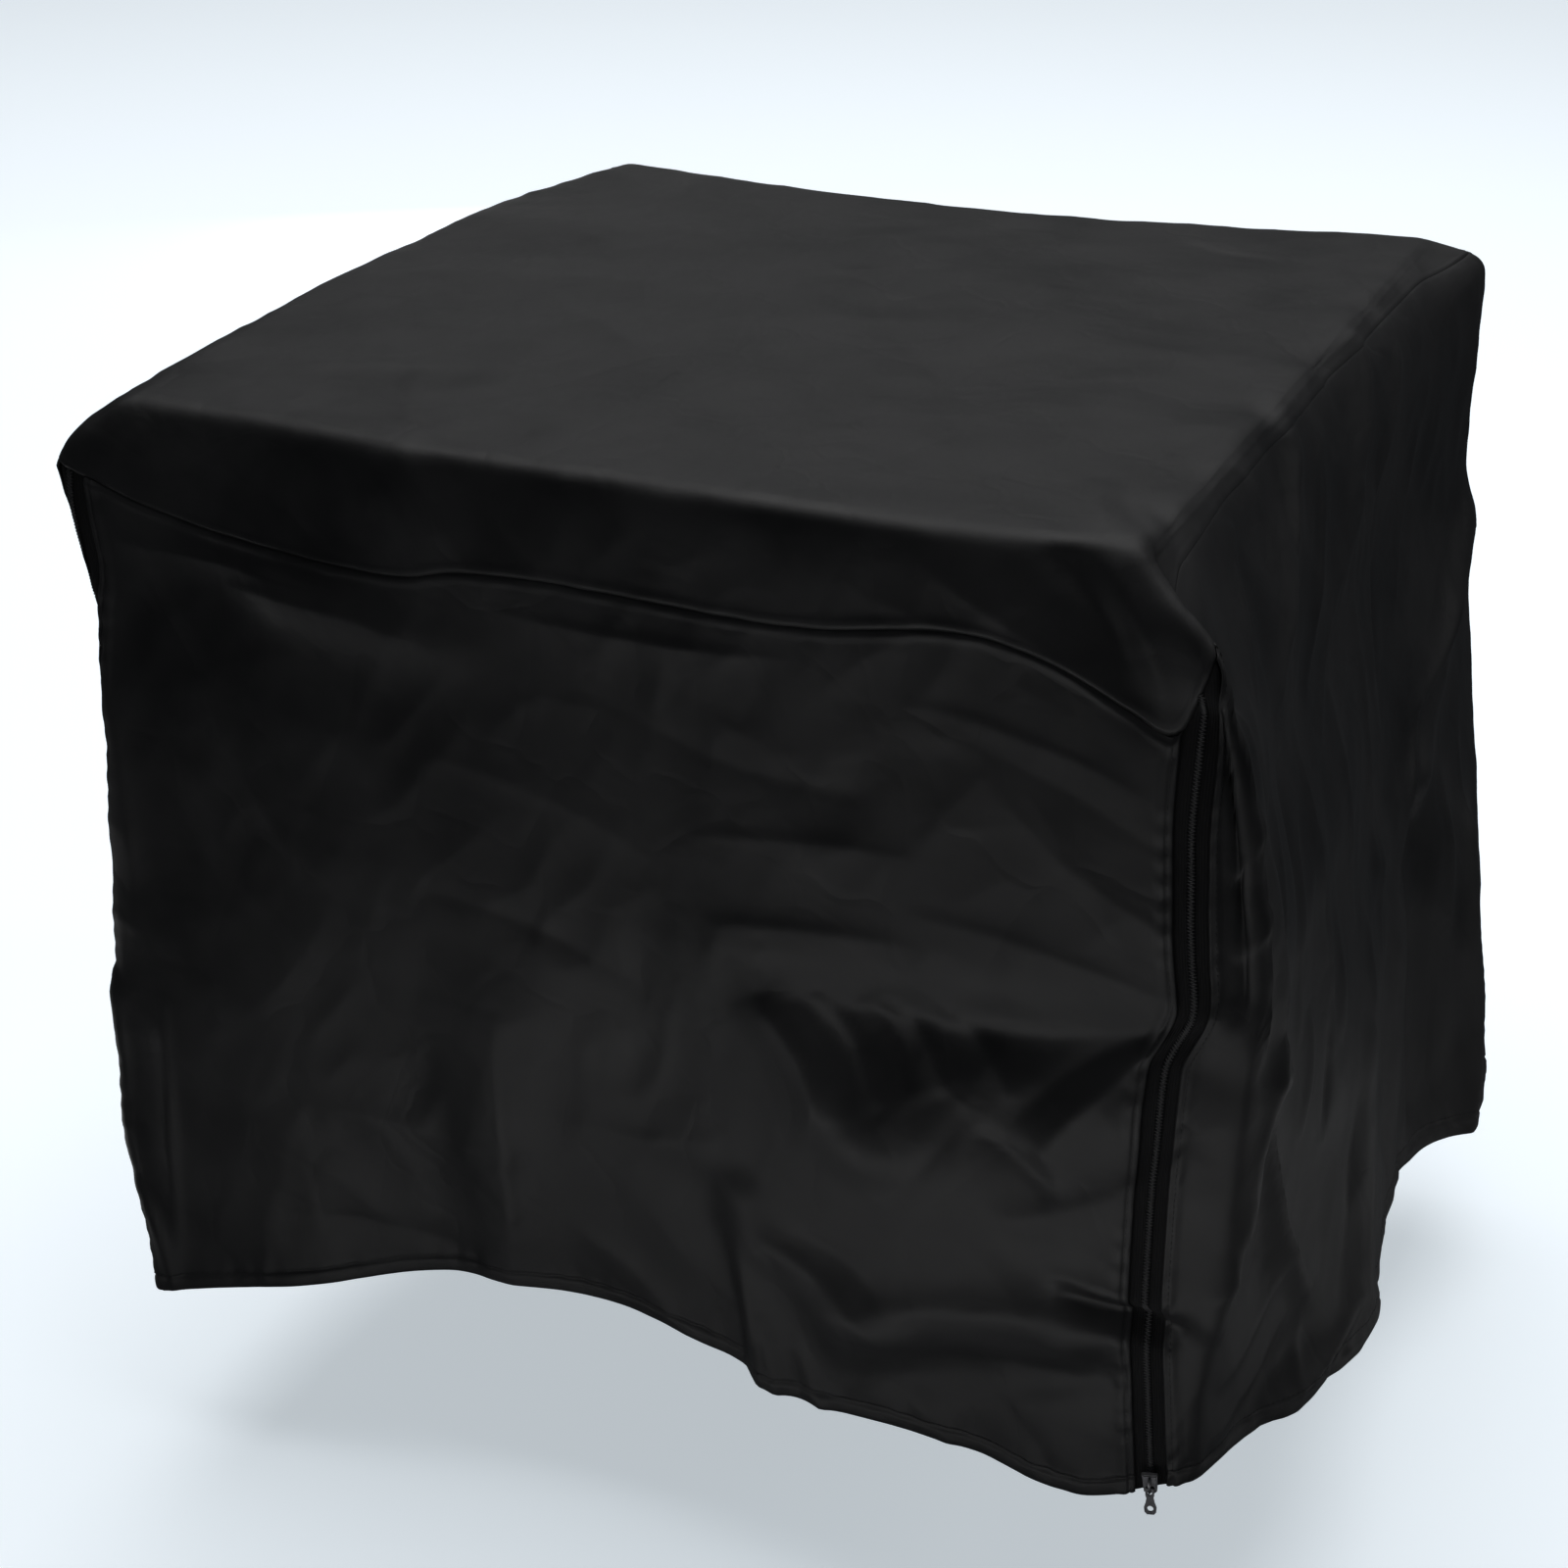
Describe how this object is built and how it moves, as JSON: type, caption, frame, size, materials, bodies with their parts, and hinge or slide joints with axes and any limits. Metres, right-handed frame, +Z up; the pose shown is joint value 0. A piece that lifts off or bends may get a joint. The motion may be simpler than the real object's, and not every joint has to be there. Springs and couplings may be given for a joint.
{
  "type": "fitted bird cage cover",
  "caption": "Fitted black fabric cover that drops over a square bird cage, with a flat top panel, draped walls, an open bottom and zips down the front corners.",
  "frame": {"origin": "under the middle of the top panel, where the cage's roof holds the cover up", "axes": "+Z up; -Y towards the front panel between the two zips; +X towards the right side panel, seen from the front"},
  "size_m": [0.5793, 0.5179, 0.4654],
  "materials": {
    "cover_cloth": "fine plain-weave black polyester with a low satin sheen",
    "zip_tape": "black woven tape with a closed nylon coil",
    "zip_metal": "dark gunmetal plating, worn bright at the pull's rim"
  },
  "bodies": {
    "root": {"top_panel": "cover_cloth", "front_panel": "cover_cloth", "right_side_panel": "cover_cloth", "back_panel": "cover_cloth", "left_side_panel": "cover_cloth", "right_zip_tape": "zip_tape", "left_zip_tape": "zip_tape", "right_zip_slider": "zip_metal", "left_zip_slider": "zip_metal", "right_zip_pull": "zip_metal", "left_zip_pull": "zip_metal"}
  },
  "joints": []
}
